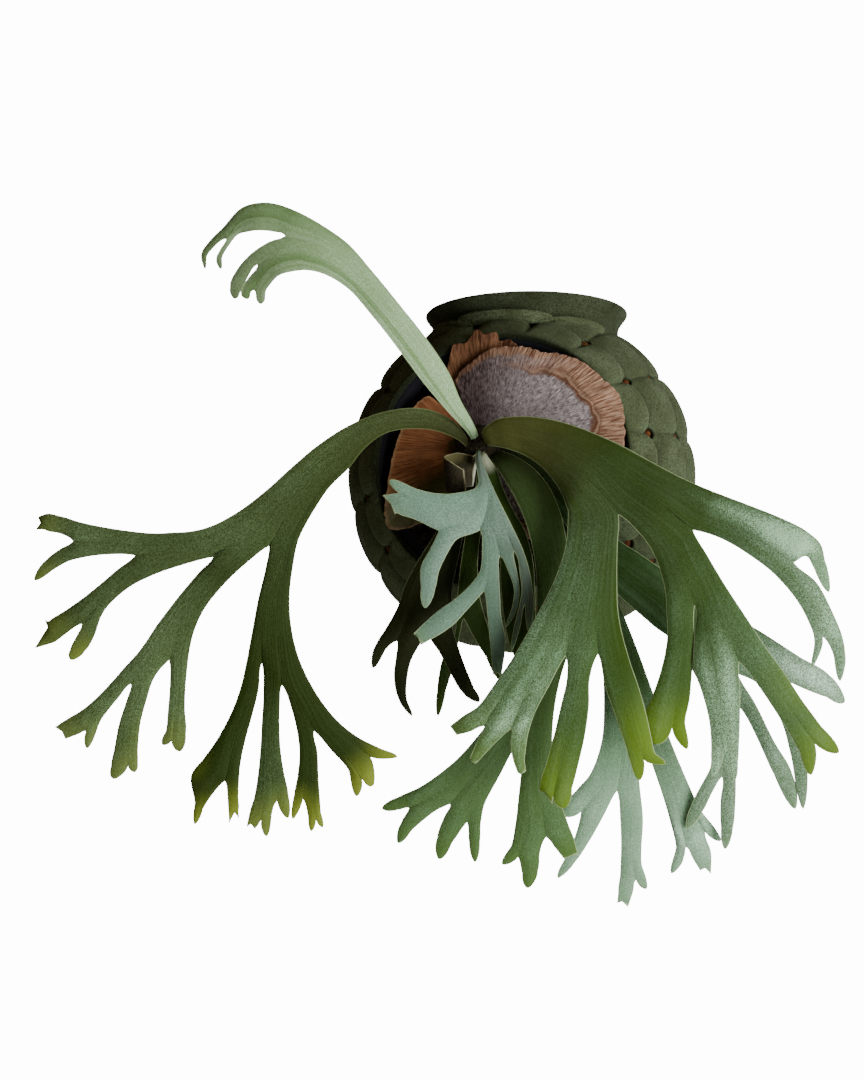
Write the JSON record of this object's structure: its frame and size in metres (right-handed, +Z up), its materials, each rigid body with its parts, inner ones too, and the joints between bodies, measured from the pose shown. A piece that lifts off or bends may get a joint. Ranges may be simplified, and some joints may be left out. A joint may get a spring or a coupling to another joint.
{
  "type": "staghorn fern in hanging basket",
  "caption": "Staghorn fern with forked fronds and brown shield fronds, growing from the side of a hanging globe of felt scales.",
  "frame": {"origin": "middle of the felt collar's top rim, where the basket hangs", "axes": "+Z up, -Y is the way the basket's round mouth and the fern look"},
  "size_m": [0.5704, 0.3826, 0.4867],
  "materials": {
    "felt": "thick dark green felt, matt",
    "coir": "loose orange-brown coconut fibre",
    "black_liner": "matt black",
    "bark_mix": "rough dark bark and moss",
    "bud": "brown and scaly",
    "felted_shield": "dry lilac-grey leaf with pale hairs and a brown margin",
    "dry_shield": "dry brown leaf, crinkled",
    "pale_blade": "living leaf with pale grey-green down, satin",
    "green_blade": "living green leaf with thin pale down, satin",
    "dark_blade": "dark green leaf, satin"
  },
  "bodies": {
    "root": {"felt_collar": "felt", "felt_ring_1_mouth": "felt", "felt_ring_2": "felt", "felt_ring_3": "felt", "felt_ring_4": "felt", "felt_ring_5": "felt", "felt_ring_6": "felt", "felt_ring_7": "felt", "felt_back_cap": "felt", "coir_lining": "coir", "inner_liner": "black_liner", "growing_medium": "bark_mix", "rhizome": "bud", "shield_frond_round": "felted_shield", "shield_frond_back": "dry_shield", "shield_frond_left": "dry_shield", "fertile_frond_tall": "pale_blade", "fertile_frond_left": "green_blade", "fertile_frond_right": "green_blade", "fertile_frond_front": "pale_blade", "fertile_frond_lower_left": "dark_blade", "fertile_frond_green": "green_blade", "fertile_frond_narrow": "green_blade", "fertile_frond_lower_middle": "green_blade", "fertile_frond_lower_right": "green_blade", "fertile_frond_far_right": "green_blade", "young_frond": "pale_blade"}
  },
  "joints": []
}
